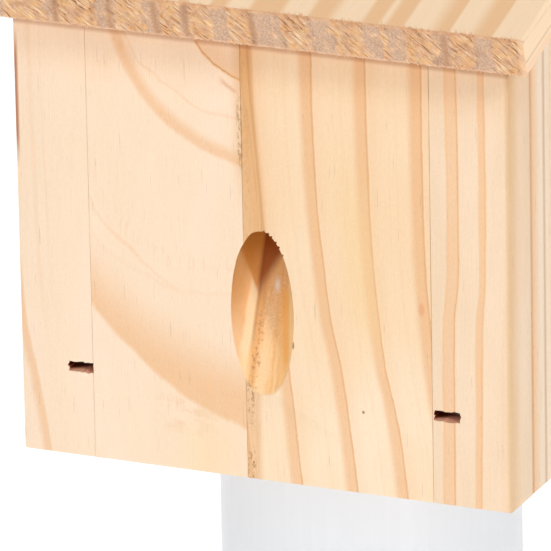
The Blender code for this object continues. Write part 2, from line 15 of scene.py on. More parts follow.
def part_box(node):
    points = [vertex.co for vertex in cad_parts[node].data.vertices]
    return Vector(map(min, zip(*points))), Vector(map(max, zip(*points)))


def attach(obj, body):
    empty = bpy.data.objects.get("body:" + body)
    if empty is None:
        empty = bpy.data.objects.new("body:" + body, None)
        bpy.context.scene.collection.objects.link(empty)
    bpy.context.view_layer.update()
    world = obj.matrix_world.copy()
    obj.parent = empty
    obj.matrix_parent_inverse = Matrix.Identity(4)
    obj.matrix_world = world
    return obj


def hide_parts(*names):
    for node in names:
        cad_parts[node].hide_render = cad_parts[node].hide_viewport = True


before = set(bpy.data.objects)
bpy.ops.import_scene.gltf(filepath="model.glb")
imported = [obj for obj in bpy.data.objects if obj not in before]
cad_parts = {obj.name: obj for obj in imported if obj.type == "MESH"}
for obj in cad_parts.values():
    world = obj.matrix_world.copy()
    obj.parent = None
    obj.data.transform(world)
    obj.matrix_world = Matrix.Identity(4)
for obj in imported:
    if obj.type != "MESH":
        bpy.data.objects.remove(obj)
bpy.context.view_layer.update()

# ---- sizes, read from the frame
MM = 0.001
FRONT_LOW, FRONT_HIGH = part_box("front_panel")
BACK_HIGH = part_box("back_panel")[1]
ROOF_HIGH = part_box("roof_board")[1]
BOX_BOTTOM = FRONT_LOW.z
FRONT_Y = FRONT_LOW.y
BACK_Y = BACK_HIGH.y
PANEL = FRONT_HIGH.y - FRONT_LOW.y
SIDE_X = FRONT_HIGH.x
ROOF_PITCH = math.radians(17)
ROOF_THICKNESS = 12 * MM
ROOF_OVERHANG = 10 * MM
ROOF_GAP = 0.3 * MM / math.cos(ROOF_PITCH)
FACE_ORIGIN = Vector((0, FRONT_Y, BOX_BOTTOM))
HINGE_Z = sum(corner.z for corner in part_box("left_hinge_pin")) / 2


def under_roof(y):
    """Height of the roof's underside at a depth y. At the back face that is the hinge pins' height."""
    return HINGE_Z + (y - BACK_Y) * math.tan(ROOF_PITCH)


# ---- materials: the node tools
def linear(colour):
    """A colour of red, green and blue from 0 to 255, as the linear levels that shaders take."""
    shares = [level / 255 for level in colour]
    return [share / 12.92 if share < 0.0405 else ((share + 0.055) / 1.055) ** 2.4 for share in shares]


class Field:
    """A number that varies over a surface. Arithmetic on it adds Math nodes."""

    def __init__(self, graph, socket):
        self.graph = graph
        self.socket = socket

    def __add__(self, other):
        return self.graph.math("ADD", self, other)

    def __sub__(self, other):
        return self.graph.math("SUBTRACT", self, other)

    def __rsub__(self, other):
        return self.graph.math("SUBTRACT", other, self)

    def __mul__(self, other):
        return self.graph.math("MULTIPLY", self, other)

    def __truediv__(self, other):
        return self.graph.math("DIVIDE", self, other)

    __radd__ = __add__
    __rmul__ = __mul__


class Graph:
    """One material's nodes. Its axes x, y and z are in millimetres in a piece's own frame."""

    def __init__(self, name, origin=(0, 0, 0), turn=(0, 0, 0)):
        self.material = bpy.data.materials.new(name)
        self.material.use_nodes = True
        self.tree = self.material.node_tree
        self.shader = self.tree.nodes["Principled BSDF"]
        place = self.add("ShaderNodeTexCoord").outputs["Object"]
        mapping = self.add("ShaderNodeMapping", vector_type="TEXTURE")
        self.feed(mapping, Vector=place, Location=origin, Rotation=turn, Scale=(MM, MM, MM))
        split = self.add("ShaderNodeSeparateXYZ")
        self.feed(split, Vector=mapping.outputs[0])
        self.x, self.y, self.z = (Field(self, split.outputs[axis]) for axis in range(3))

    def add(self, kind, **settings):
        node = self.tree.nodes.new(kind)
        for key, value in settings.items():
            setattr(node, key, value)
        return node

    def plug(self, socket, value):
        """Feeds a socket from a field, another socket, a number, or a colour from 0 to 255."""
        if isinstance(value, Field):
            value = value.socket
        if isinstance(value, bpy.types.NodeSocket):
            self.tree.links.new(value, socket)
        elif socket.type == "RGBA":
            socket.default_value = (*linear(value), 1)
        else:
            socket.default_value = value

    def feed(self, node, **values):
        for key, value in values.items():
            self.plug(node.inputs[key.replace("_", " ")], value)

    def math(self, operation, *values):
        node = self.add("ShaderNodeMath", operation=operation)
        for socket, value in zip(node.inputs, values):
            self.plug(socket, value)
        return Field(self, node.outputs[0])

    def rise(self, value, low, high, start=0, end=1):
        """Goes smoothly from start, where value is low, to end, where it is high."""
        node = self.add("ShaderNodeMapRange", interpolation_type="SMOOTHSTEP")
        for socket, given in zip(node.inputs, (value, low, high, start, end)):
            self.plug(socket, given)
        return Field(self, node.outputs[0])

    def hump(self, value, middle, reach):
        """One at middle, falling smoothly to nothing at a distance reach from it."""
        return self.rise(self.size(value - middle), reach, 0)

    def between(self, value, low, high, soft):
        """One between low and high, with edges of width soft."""
        return self.rise(value, low, low + soft) * self.rise(value, high, high - soft)

    def noise(self, x, y, z, detail=2, rough=0.5, twist=0):
        """Noise with one feature for each unit of x, y and z, between 0 and 1."""
        place = self.add("ShaderNodeCombineXYZ")
        self.feed(place, X=x, Y=y, Z=z)
        node = self.add("ShaderNodeTexNoise")
        self.feed(node, Vector=place.outputs[0], Scale=1)
        self.feed(node, Detail=detail, Roughness=rough, Distortion=twist)
        return Field(self, node.outputs["Fac"])

    def grain(self, x, y, z, **more):
        """Noise laid over the piece, with so many features in a millimetre along each axis."""
        return self.noise(self.x * x, self.y * y, self.z * z, **more)

    def length(self, across, up):
        """How far a point is from the middle, from its distances along two axes."""
        return self.math("SQRT", across * across + up * up)

    def size(self, value):
        return self.math("ABSOLUTE", value)

    def curve(self, value, low, high, points):
        """A smooth function of value, from points (value, result) between low and high."""
        node = self.add("ShaderNodeFloatCurve")
        line = node.mapping.curves[0]
        results = [result for _, result in points]
        least, span = min(results), (max(results) - min(results)) or 1
        spots = [((at - low) / (high - low), (result - least) / span) for at, result in points]
        while len(line.points) < len(spots):
            line.points.new(0.5, 0.5)
        for point, spot in zip(line.points, spots):
            point.location = spot
        node.mapping.update()
        self.plug(node.inputs["Value"], (value - low) / (high - low))
        return Field(self, node.outputs[0]) * span + least

    def mix(self, amount, first, second, blend="MIX"):
        node = self.add("ShaderNodeMix", data_type="RGBA", blend_type=blend)
        self.plug(node.inputs["Factor"], amount)
        self.plug(node.inputs[6], first)
        self.plug(node.inputs[7], second)
        return node.outputs[2]

    def shade(self, colour, amount):
        """A colour made lighter or darker by a factor that varies."""
        node = self.add("ShaderNodeVectorMath", operation="SCALE")
        self.plug(node.inputs[0], linear(colour) if isinstance(colour, tuple) else colour)
        self.plug(node.inputs["Scale"], amount)
        return node.outputs[0]

    def bump(self, height, strength=1):
        """Relief from a height in millimetres."""
        node = self.add("ShaderNodeBump")
        self.feed(node, Height=height, Distance=MM, Strength=strength)
        self.plug(self.shader.inputs["Normal"], node.outputs[0])

    def finish(self, colour, roughness, **more):
        self.plug(self.shader.inputs["Base Color"], colour)
        self.plug(self.shader.inputs["Roughness"], roughness)
        self.feed(self.shader, **more)
        return self.material


# ---- materials: pine
CREAM = (249, 221, 191)
PALE = (251, 224, 197)
TAN = (240, 193, 147)
DARK_TAN = (220, 164, 108)
BARK = (122, 68, 34)

HANDS = ("left", "right")
SEAMS = [-54.2, -5.5, 52.75]  # X of the glue lines in the front board, in millimetres
PORT_RADIUS = 9.9
PORT_HEIGHT = 50.8
PORT_ANGLE = math.radians(23)


def pine(name, rings, early=CREAM, pale=PALE, marks=()):
    """Planed pine with its grain along z. rings(graph, x, y, z) is how much latewood a point has, so
    the rings are solid, and past 1 it gets darker. marks are functions from colour to colour."""
    g = Graph(name, FACE_ORIGIN)
    waver = (g.grain(0.11, 0.11, 0.022, detail=3) - 0.5) * 1.2
    tremble = (g.grain(0.9, 0.9, 0.11, detail=3, rough=0.6) - 0.5) * 0.6
    amount = rings(g, g.x + waver + tremble, g.y, g.z + waver + tremble)
    streaks = g.grain(2.6, 2.6, 0.06, detail=5, rough=0.75)
    fibres = g.grain(6, 6, 0.5, detail=3, rough=0.65)
    patches = g.grain(0.05, 0.05, 0.018, detail=2)
    cells = g.grain(3.2, 3.2, 1.3, detail=2, rough=0.7)
    colour = g.mix(g.rise(patches, 0.35, 0.7), early, pale)
    colour = g.mix(amount * g.rise(streaks, 0.3, 0.62, 0.74, 1.08), colour, TAN)
    colour = g.mix(g.rise(amount, 1, 1.6), colour, DARK_TAN)
    ducts = g.noise(g.x * 1.9 + 7, g.y * 1.9, g.z * 0.085, detail=1)
    colour = g.mix(g.rise(ducts, 0.68, 0.78) * 0.22, colour, BARK)
    pores = g.noise(g.x * 3.4 + 3, g.y * 3.4, g.z * 0.3, detail=1)
    colour = g.mix(g.rise(pores, 0.66, 0.8) * (amount * 0.22 + 0.08), colour, BARK)
    for mark in marks:
        colour = mark(g, colour)
    lighter = (streaks - 0.5) * 0.2 + (fibres - 0.5) * 0.21 + (cells - 0.5) * 0.18
    colour = g.shade(colour, 1 + lighter)
    g.bump(streaks * 0.04 + fibres * 0.03 + amount * 0.025, 0.9)
    rough = g.rise(amount, 0, 1, 0.62, 0.5) + (fibres - 0.5) * 0.12
    return g.finish(colour, rough, Specular_IOR_Level=0.3)


def plain_rings(pith, period, strength=0.8, lean=0):
    """Rings round a pith line that runs along the grain, away from the board."""

    def rings(g, x, y, z):
        across = x - pith[0] + z * lean
        deep = y - pith[1]
        radius = g.length(across, deep)
        turn = radius / period
        share = g.math("FRACT", turn)
        vary = g.noise(g.math("FLOOR", turn) * 1.37, 3.3, 1.7, detail=0)
        late = g.rise(share, 0.45, 0.93) * g.rise(share, 1, 0.965)
        return late * strength * g.rise(vary, 0.25, 0.7, 0.35, 1)

    return rings


def outer_stave_rings(g, x, y, z):
    """The left stave: cream, with one wide tan ring low on its edge and faint ones beside it."""
    drift = g.curve(z, -5, 140, [(-5, 1), (20, -3.2), (50, -8), (90, -9.6), (140, -10.4)])
    ring = x - drift + y * 0.12
    wide = g.rise(ring, -72, -69.6) * g.rise(ring, -67.5, -68.6)
    faint = g.hump(ring, -62, 1.2) * 0.22 + g.hump(ring, -58.6, 0.8) * 0.12
    return wide * 0.75 + faint * g.rise(z, 30, 60)


def beyond(g, x, z, centre, radius):
    """Distance outside an arc on the face, negative inside it."""
    across, up = x - centre[0], z - centre[1]
    return g.length(across, up) - radius


def arched_stave_rings(g, x, y, z):
    """The second stave, cut from a crooked trunk: wide arches, each with its own centre."""
    deep = y * 0.9
    crooked = (g.noise(x * 0.09, y * 0.05, z * 0.09, detail=3) - 0.5) * 5
    upper = beyond(g, x, z, (2, 145), 50) + deep
    thin = beyond(g, x, z, (-5, 152), 42.6) + deep + crooked
    corner = beyond(g, x, z, (2, 145), 25.3) + deep
    grey = beyond(g, x, z, (-20, 100), 45) + deep + crooked
    line = beyond(g, x, z, (14, 128), 83.5) + deep + crooked * 0.6
    peach_top = beyond(g, x, z, (7.5, 111.3), 74.8) + deep
    peach_bottom = beyond(g, x, z, (20, 105), 93.6) + deep + crooked * 0.4
    flecks = g.rise(g.noise(x * 0.9, y, z * 0.2), 0.5, 0.62)
    broad = g.rise(peach_top, -4, 15) * g.rise(peach_bottom, 0.9, -0.9)
    band = g.rise(upper, -5.2, -1.5) * g.rise(upper, 1.2, -0.6)
    wedge = g.rise(corner, 0.5, -0.3) * g.rise(corner, -9, -0.6, 0.3, 0.8)
    lines = g.hump(thin, 0, 0.8) * 0.34 + g.hump(grey, 0, 1.3) * 0.16
    lines = lines + g.hump(grey, -9, 4) * flecks * 0.26
    lines = lines + g.hump(line, 0, 1) * g.rise(x, -20, -45) * 0.45
    late = broad * 0.92 + band * 0.8 + lines * g.rise(x, -52, -40, 0.5, 1)
    return late + wedge * 0.8 + g.hump(corner, 0.1, 0.7) * 1.2


def bored_stave_rings(g, x, y, z):
    """The third stave: even rings seen edge on. Below a bend they lean to the right, and rings farther
    right bend lower down."""
    points = [(-22, 15.6), (-5, 13.7), (21, 10.9), (41, 8), (58, 4.1), (86, 0.9), (100, 0.1)]
    points.append((180, -0.2))
    drift = g.curve(z + (x - 15) * 0.7, -22, 180, points)
    wider = g.rise(x - drift, 14, 0) * 1.8
    turn = (x - drift + wider + y * 0.22 + 16.2) / 16.9
    share = g.math("FRACT", turn)
    band = g.rise(share, 0.67, 0.82) * g.rise(share, 1, 0.965)
    edge = g.hump(share, 0.962, 0.035)
    tail = g.rise(share, 0.3, 0) * 0.2
    faint = g.hump(share, 0.5, 0.05) * 0.12 + g.hump(share, 0.36, 0.03) * 0.08
    return band * 0.88 + edge * 0.42 + tail + faint


def right_stave_rings(g, x, y, z):
    """The right stave: two narrow straight rings, the left one double."""
    points = [(-5, -1.6), (54, -1), (74, 0.3), (140, 0)]
    ring = x - g.curve(z, -5, 140, points) + y * 0.1
    double = g.between(ring, 57, 61.6, 0.7) * 0.72 + g.hump(ring, 57.6, 0.6) * 0.25
    double = double + g.hump(ring, 60.9, 0.5) * 0.6
    single = g.between(ring, 67, 69.9, 0.6) * 0.85 + g.hump(ring, 69.2, 0.5) * 0.3
    return double + single + g.between(ring, 75, 79, 1.2) * 0.2


def seam_line(at, depth, width=0.2):
    """A glue line down the boards' faces at one X."""

    def mark(g, colour):
        broken = g.rise(g.noise(g.x * 0.2, g.y, g.z * 0.12), 0.3, 0.6, 0.4, 1)
        return g.mix(g.hump(g.x, at, width) * broken * depth, colour, BARK)

    return mark


def seam_stain(g, colour):
    """Tan wood beside the middle seam, strongest above the port, with dark lines and torn specks."""
    left = g.rise(g.x, -9.5, -5.8) * g.rise(g.x, -5.4, -5.6) * g.rise(g.z, 78, 100)
    low = g.rise(g.z, 50, 22)
    x = g.x - g.rise(g.z, 132, 72) * 3.6 + low * 2.6
    right = g.rise(g.x, -5.6, -5.4) * g.rise(x, -0.8, -3.2) * (1 - low * 0.3)
    past = g.rise(x, 6, -3) * g.rise(g.x, -5.6, -5.4) * g.rise(g.z, 60, 95)
    colour = g.mix(past * 0.3, colour, TAN)
    colour = g.mix((left * 0.5 + right) * g.rise(g.z, 82, 128, 0.74, 1), colour, (227, 175, 119))
    fine = g.noise(x * 2, g.y, g.z * 0.05 + 4, detail=3)
    lines = g.rise(fine, 0.5, 0.68) * g.between(x, -6, -2, 0.8)
    lines = lines + g.hump(x, -2.9, 0.8) * g.rise(g.z, 55, 90)
    colour = g.mix(lines * 0.26, colour, (182, 124, 72))
    torn = g.rise(g.noise(g.x * 1.1, g.y, g.z * 0.45 + 9, detail=3), 0.42, 0.58)
    beside = g.between(g.x, -7.2, -4.9, 0.8) * g.between(g.z, 92, 118, 7)
    return g.mix(torn * beside * 0.6, colour, (160, 116, 64))


def bark_specks(g, colour):
    """Specks of bark and resin beside the middle seam, most of them below the port."""
    beside = g.between(g.x, -5.7, -2.6, 0.9)
    specks = g.rise(g.grain(1, 1, 0.6, detail=4, rough=0.7), 0.49, 0.6)
    held = g.rise(g.noise(g.x * 0.1, g.y * 0.1, g.z * 0.06 + 2), 0.38, 0.55)
    fewer = g.rise(g.z, 20, 60, 0.85, 0.18) * held
    return g.mix(beside * specks * fewer * 0.85, colour, (150, 94, 52))


def spot(x, z, width, height, amount, tint):
    """One small mark on the front face."""

    def mark(g, colour):
        across, up = (g.x - x) / width, (g.z - z) / height
        near = g.rise(g.length(across, up), 1, 0.55)
        return g.mix(near * g.rise(g.y, 3, 1) * amount, colour, tint)

    return mark


# How far a point behind the front face seems to move right and up on it, as the camera sees it; used to
# lay the slots' painted shadows.
SEEN_RIGHT, SEEN_UP = 0.445, 0.376


def slot_wood_and_shadow(node, face_y=FRONT_Y, inward=1):
    """The torn wood inside a staple slot, pinkish brown below, with a painted shadow darkening its
    upper left half.
    """
    low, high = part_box(node)
    middle_x = (low.x + high.x) / 2 / MM
    middle_z = ((low.z + high.z) / 2 - BOX_BOTTOM) / MM

    def mark(g, colour):
        deep = (g.y - (face_y - FRONT_Y) / MM) * inward
        beside = g.x + deep * SEEN_RIGHT - middle_x
        above = g.z + deep * SEEN_UP - middle_z
        inside = g.between(g.x, middle_x - 5.4, middle_x + 5.4, 0.4)
        inside = inside * g.between(g.z, middle_z - 2.8, middle_z + 2.8, 0.3)
        # Painted shadow under the slot's top edge.
        shadow = g.rise(above - beside * 0.24, -0.45, 0.55)
        torn = g.mix(shadow, (255, 188, 156), (122, 52, 22))
        return g.mix(inside * g.rise(deep, 0.1, 0.5), colour, torn)

    return mark


def resin_streak(g, colour):
    """A ragged resin streak that meets the seam high on the second stave."""
    ragged = (g.grain(0.5, 0.5, 0.5, detail=4) - 0.5) * 3
    across = (g.x + 8) * 0.6 + g.z - 118 + ragged
    streak = g.hump(across, 0, 1.3) * g.between(g.x, -13, -5.4, 3)
    return g.mix(streak * 0.5, colour, (214, 146, 92))


def smudges(g, colour):
    """Brownish stains low on the second stave."""
    cloud = g.noise(g.x * 0.14, g.y * 0.1, g.z * 0.2 + 6, detail=4, rough=0.6)
    around = g.hump(g.x, -25, 15) * g.hump(g.z, 17, 9)
    return g.mix(g.rise(cloud, 0.46, 0.62) * around * 0.55, colour, (236, 192, 146))


def lower_haze(g, colour):
    """Yellowish wood low on the second stave."""
    haze = g.hump(g.x, -18, 16) * g.rise(g.z, 22, 8)
    return g.mix(haze * 0.55, colour, (250, 217, 172))


def left_edge_streak(g, colour):
    """A reddish streak high on the box's left edge."""
    streak = g.rise(g.x, -75.4, -76.3) * g.between(g.z, 86, 131, 12) * g.rise(g.y, 3.2, 0.8)
    return g.mix(streak * 0.85, colour, (178, 104, 58))


def browned(g, colour):
    """The third stave is browner above its lowest part."""
    return g.mix(g.rise(g.z, 14, 60), colour, (251, 247, 241), "MULTIPLY")


def yellow_haze(g, colour):
    """Yellowish wood in the middle of the third stave."""
    haze = g.hump(g.x - g.z * -0.12, 39, 9) * g.between(g.z, 30, 110, 30)
    return g.mix(haze * 0.5, colour, (249, 216, 164))


def corner_shade(g, colour):
    """Painted shade: the front board's end is darker towards the box's front corner."""
    beyond_face = g.rise(g.x, 75.4, 76.9)
    return g.mix(beyond_face * g.rise(g.y, 10, 0.3), colour, (241, 231, 214), "MULTIPLY")


def eave_shade(g, colour):
    """Painted shade on the front board near the eave, and a painted shadow line right under it."""
    # Painted shade, a little darker towards the eave.
    colour = g.mix(g.rise(g.z, 113, 124), colour, (251, 247, 243), "MULTIPLY")
    # The painted shadow line right under the roof's lower edge.
    eave_shadow_line = g.rise(g.z, 129.9, 131.4) * g.rise(g.y, 1, 0.2)
    return g.mix(eave_shadow_line, colour, (221, 206, 197), "MULTIPLY")


def joint_lines(*depths):
    """Dark lines down the box's side, at depths behind its front face."""

    def mark(g, colour):
        for depth in depths:
            line = g.hump(g.y, depth, 1.5) * g.rise(g.size(g.x), 74, 76)
            colour = g.mix(line, colour, (226, 212, 198), "MULTIPLY")
        return colour

    return mark


def port_wall(g):
    """One on the wall that the drill left, and nothing elsewhere."""
    over = g.y * math.cos(PORT_ANGLE) - (g.z - PORT_HEIGHT) * math.sin(PORT_ANGLE)
    off_axis = g.length(g.x, over)
    return g.rise(off_axis, PORT_RADIUS + 1.2, PORT_RADIUS + 0.9) * g.rise(g.y, 0.05, 0.5)


def along_drill(g):
    """Distance along the drill's path from the front face."""
    return g.y * math.sin(PORT_ANGLE) + (g.z - PORT_HEIGHT) * math.cos(PORT_ANGLE)


def painted_port_shadow(g, wall):
    """Painted shadow on the port's wall: the rim's shadow from the lamp at the right, a dark brown
    wedge down the wall, darkest right of the seam, with a little painted shade deeper in.
    """
    tall = PORT_RADIUS / math.sin(PORT_ANGLE)
    # The lamp's rays traced back to the rim: where they miss the opening, the wall gets the painted
    # shadow.
    across = (g.x + g.y * 1.43) / PORT_RADIUS
    up = (g.z - PORT_HEIGHT + g.y * 1.22) / tall
    edge = g.rise(g.length(across, up), 0.96, 1.14)
    along = along_drill(g)
    wedge = g.rise(g.x - along * 0.465, -7.4, -11)
    amount = edge * g.rise(g.y, 0.1, 1.6) * (wedge * 0.85 + g.rise(along, 14, 24) * 0.15 + 0.03)
    # The painted shadow's brown, deepest right of the seam.
    shadow_brown = g.mix(g.rise(g.x, -6.6, -5.4), (226, 149, 66), (166, 80, 0))
    return g.mix(amount, wall, shadow_brown)


def drilled_left(g, x, along, wall):
    """The port's left side: orange towards the top, peach below, and a cream stripe beside the seam."""
    peach = g.mix(g.rise(along, 10, -9), (224, 168, 108), (247, 203, 156))
    peach = g.mix(g.rise(x, -9.3, -8.1) * g.rise(along, -8, 2) * 0.8, peach, (247, 190, 132))
    wall = g.mix(g.rise(x, -6.8, -8.2), wall, peach)
    stripe = g.between(x, -8.2, -5.2, 0.9) * g.rise(along, -16, -8, 0.5, 0.95)
    return g.mix(stripe, wall, (255, 223, 179))


def drilled_right(g, x, along, wall):
    """The port's right side: a leaning orange band, with paler wood beyond it."""
    x = x + along * 0.2
    wall = g.mix(g.between(x, 0.6, 3.6, 1) * 0.9, wall, (255, 202, 134))
    band = g.between(x, 2, 5.2, 0.9) * g.between(along, -17, 12, 6)
    wall = g.mix(band * 0.9, wall, (255, 190, 108))
    return g.mix(g.rise(x, 4.6, 5.6), wall, (255, 218, 158))


def drilled(g, colour):
    """The drill's wall shows torn grain along its path, with knotty tan wood right of the seam, a
    painted highlight, and the port's painted shadow.
    """
    along = along_drill(g)
    wander = (g.noise(g.x * 0.3, 4, along * 0.16, detail=3) - 0.5) * 1.6
    x = g.x + wander
    streaks = g.noise(x * 1.3, g.y * 0.2, along * 0.13, detail=3, rough=0.6)
    knots = g.noise(g.x * 0.22, g.y * 0.1, along * 0.34, detail=3, twist=2.6)
    wall = g.mix(g.rise(streaks, 0.34, 0.66), (251, 195, 130), (255, 212, 160))
    wall = g.mix(g.between(x, -3.4, 0.8, 1.4) * g.rise(along, 9, -4) * 0.75, wall, (255, 217, 168))
    wall = drilled_left(g, x, along, drilled_right(g, x, along, wall))
    rings = g.hump(g.math("FRACT", knots * 8), 0.5, 0.3) * g.between(g.x, -4.8, 3.4, 1.4)
    wall = g.mix(rings * g.between(along, -8, 18, 4) * 0.34, wall, (216, 146, 88))
    seam = g.between(g.x, -5.6, -2.9, 1.2) * g.rise(streaks, 0.35, 0.6, 0.5, 1)
    wall = g.mix(seam * 0.75, wall, (225, 162, 98))
    wall = g.mix(g.hump(g.x, -5.3, 0.8) * g.rise(along, -14, -2) * 0.6, wall, (182, 118, 58))
    specks = g.rise(g.grain(1, 1, 0.7, detail=3, rough=0.7), 0.5, 0.64)
    specks = specks * g.between(g.x, -5.6, -1.8, 1.4) * g.rise(along, 6, -6)
    wall = g.mix(specks * 0.6, wall, (164, 102, 56))
    # A painted highlight: a pale gleam on the wall where the lamp would glint.
    painted_gleam = g.hump(g.x + along * 0.12, 0.5, 1.3) * g.hump(along, 9.5, 3.4)
    wall = g.mix(painted_gleam, wall, (255, 240, 230))
    return g.mix(port_wall(g), colour, painted_port_shadow(g, wall))


# ---- meshes
def place(name, data):
    item = bpy.data.objects.new(name, data)
    bpy.context.scene.collection.objects.link(item)
    return item


def add_object(name, bm, material=None, sharp=None):
    """Makes an object from a bmesh. Faces are smooth up to the angle sharp, in degrees."""
    bmesh.ops.recalc_face_normals(bm, faces=bm.faces)
    mesh = bpy.data.meshes.new(name)
    bm.to_mesh(mesh)
    bm.free()
    if material is not None:
        mesh.materials.append(material)
    if sharp is not None:
        mesh.shade_smooth()
        mesh.set_sharp_from_angle(angle=math.radians(sharp))
    return place(name, mesh)


def stand_in(piece, body, slot, *nodes):
    """The piece rides on a body, in place of CAD nodes."""
    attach(piece, body)
    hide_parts(*nodes)


def extrude(bm, corners, travel):
    """A closed solid: the flat outline through corners, pushed along travel."""
    face = bm.faces.new([bm.verts.new(corner) for corner in corners])
    grown = bmesh.ops.extrude_face_region(bm, geom=[face])
    moved = [v for v in grown["geom"] if isinstance(v, bmesh.types.BMVert)]
    bmesh.ops.translate(bm, verts=moved, vec=travel)


def loft(bm, loops):
    """A closed solid through loops of points, one after the other, with flat ends."""
    rings = [[bm.verts.new(point) for point in loop] for loop in loops]
    for first, second in zip(rings, rings[1:]):
        for i in range(len(first)):
            k = (i + 1) % len(first)
            bm.faces.new((first[i], first[k], second[k], second[i]))
    bm.faces.new(rings[0])
    bm.faces.new(rings[-1])


def solid(name, loops):
    bm = bmesh.new()
    loft(bm, loops)
    return add_object(name, bm)


def ease_edges(bm, picked, width, steps):
    """Rounds the edges that picked chooses by their middle and how far they reach along each axis."""
    edges = []
    for edge in bm.edges:
        first, second = (vertex.co for vertex in edge.verts)
        if picked((first + second) / 2, Vector(map(abs, first - second))):
            edges.append(edge)
    bmesh.ops.bevel(bm, geom=edges, offset=width, segments=steps, profile=0.5, affect="EDGES")


def carve(piece, *cutters):
    """Cuts solids out of a piece for good."""
    for cutter in cutters:
        boolean = piece.modifiers.new("carve", "BOOLEAN")
        boolean.solver = "EXACT"
        boolean.object = cutter
    graph = bpy.context.evaluated_depsgraph_get()
    mesh = bpy.data.meshes.new_from_object(piece.evaluated_get(graph))
    piece.modifiers.clear()
    piece.data = mesh


# ---- the front board
EASE = 0.5 * MM


def stave_mesh(low_x, high_x, low_y, high_y):
    """One strip of a glued board. Its seam edges are just broken, and its outer edges are eased."""
    bm = bmesh.new()
    tops = [(y, under_roof(y) - ROOF_GAP) for y in (high_y, low_y)]
    outline = [(low_y, BOX_BOTTOM), (high_y, BOX_BOTTOM), *tops]
    extrude(bm, [(low_x, y, z) for y, z in outline], Vector((high_x - low_x, 0, 0)))
    outer = SIDE_X - 0.01 * MM

    def at_seam(middle, reach):
        return reach.z > 10 * MM and abs(middle.x) < outer

    def at_outside(middle, reach):
        low = middle.z < BOX_BOTTOM + 0.01 * MM
        if abs(middle.x) > outer:
            return low or reach.z > 10 * MM
        return low and reach.y < 10 * MM

    ease_edges(bm, at_seam, 0.08 * MM, 1)
    ease_edges(bm, at_outside, EASE, 2)
    return bm


def port_cutter():
    """The drill's path: a slanted rod whose wall is a little uneven."""
    steps, rings = 96, 110
    along = Vector((0, math.sin(PORT_ANGLE), math.cos(PORT_ANGLE)))
    across = Vector((0, -math.cos(PORT_ANGLE), math.sin(PORT_ANGLE)))
    middle = FACE_ORIGIN + Vector((0, 0, PORT_HEIGHT * MM))
    start, end = -45 * MM, 80 * MM
    loops = []
    for i in range(rings + 1):
        centre = middle + along * (start + (end - start) * i / rings)
        loop = []
        for j in range(steps):
            angle = math.tau * j / steps
            spoke = Vector((math.cos(angle), 0, 0)) + across * math.sin(angle)
            rough = noise.noise(Vector((spoke.x * 6, spoke.z * 6, i * 0.16))) * 0.12
            rough += noise.noise(Vector((spoke.x * 30, spoke.z * 30, i * 0.6))) * 0.06
            loop.append(centre + spoke * (PORT_RADIUS + rough) * MM)
        loops.append(loop)
    return solid("port_cutter", loops)


def notch_cutters():
    """Short scallops side by side along the upper right rim, where the drill tore the wood."""
    draw = random.Random(4)
    reach = PORT_RADIUS / math.sin(PORT_ANGLE)
    cutters = []
    for number in range(6):
        angle = math.radians(85 - 7.4 * number + draw.uniform(-1, 1))
        size = draw.uniform(0.42, 0.56)
        spot_at = Vector((PORT_RADIUS * math.cos(angle), 0, PORT_HEIGHT + reach * math.sin(angle)))
        outward = Vector((math.cos(angle) / PORT_RADIUS, 0, math.sin(angle) / reach)).normalized()
        beside = Vector((outward.z, 0, -outward.x))
        tip = outward * draw.uniform(0.4, 0.58)
        rim = [-beside * size, tip * 0.8 - beside * size * 0.7, tip, tip * 0.8 + beside * size * 0.7]
        corners = [spot_at + step for step in (*rim, beside * size, -outward * 0.8)]
        deep = Vector((0, draw.uniform(0.7, 1.1), 0.2))
        near = [FACE_ORIGIN + (c - Vector((0, 0.5, 0))) * MM for c in corners]
        far = [FACE_ORIGIN + (spot_at * 0.6 + c * 0.4 + deep) * MM for c in corners]
        cutters.append(solid(f"notch_cutter_{number}", (near, far)))
    return cutters


def slot_cutter(name, node, face_y, inward, draw):
    """The ragged slot that the nail gun left over a staple, with torn edges and a sloping floor."""
    low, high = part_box(node)
    middle_x, middle_z = (low.x + high.x) / 2, (low.z + high.z) / 2
    half_x, half_z = 4.1 * MM, 1.65 * MM
    corners = []
    for side, count in (((1, 0, -1), 9), ((0, 1, 1), 5), ((-1, 0, 1), 9), ((0, -1, -1), 5)):
        for i in range(count):
            share = 2 * i / count - 1
            along_x, along_z, fixed = side
            x = share * along_x * half_x if along_x else fixed * half_x
            z = share * along_z * half_z if along_z else fixed * half_z
            torn = Vector((draw.uniform(-0.15, 0.15), draw.uniform(-0.16, 0.16))) * MM
            torn *= 2.2 if fixed < 0 and not along_x else 1.4
            corners.append((middle_x + x + torn.x, middle_z + z + torn.y))
    deep = face_y + inward * 5.2 * MM
    near = [(x, face_y - inward * MM, z) for x, z in corners]
    far = []
    for x, z in corners:
        floor = 0.9 * MM if z < middle_z else 0
        far.append((middle_x + (x - middle_x) * 0.97, deep, z + floor))
    return solid(name, (near, far))


def smooth_small_faces(piece):
    """Rounds off the shading of carved walls and eased edges, and leaves the big planed faces flat."""
    largest = 6 * MM * MM
    for face in piece.data.polygons:
        face.use_smooth = face.area < largest
    piece.data.set_sharp_from_angle(angle=math.radians(30))


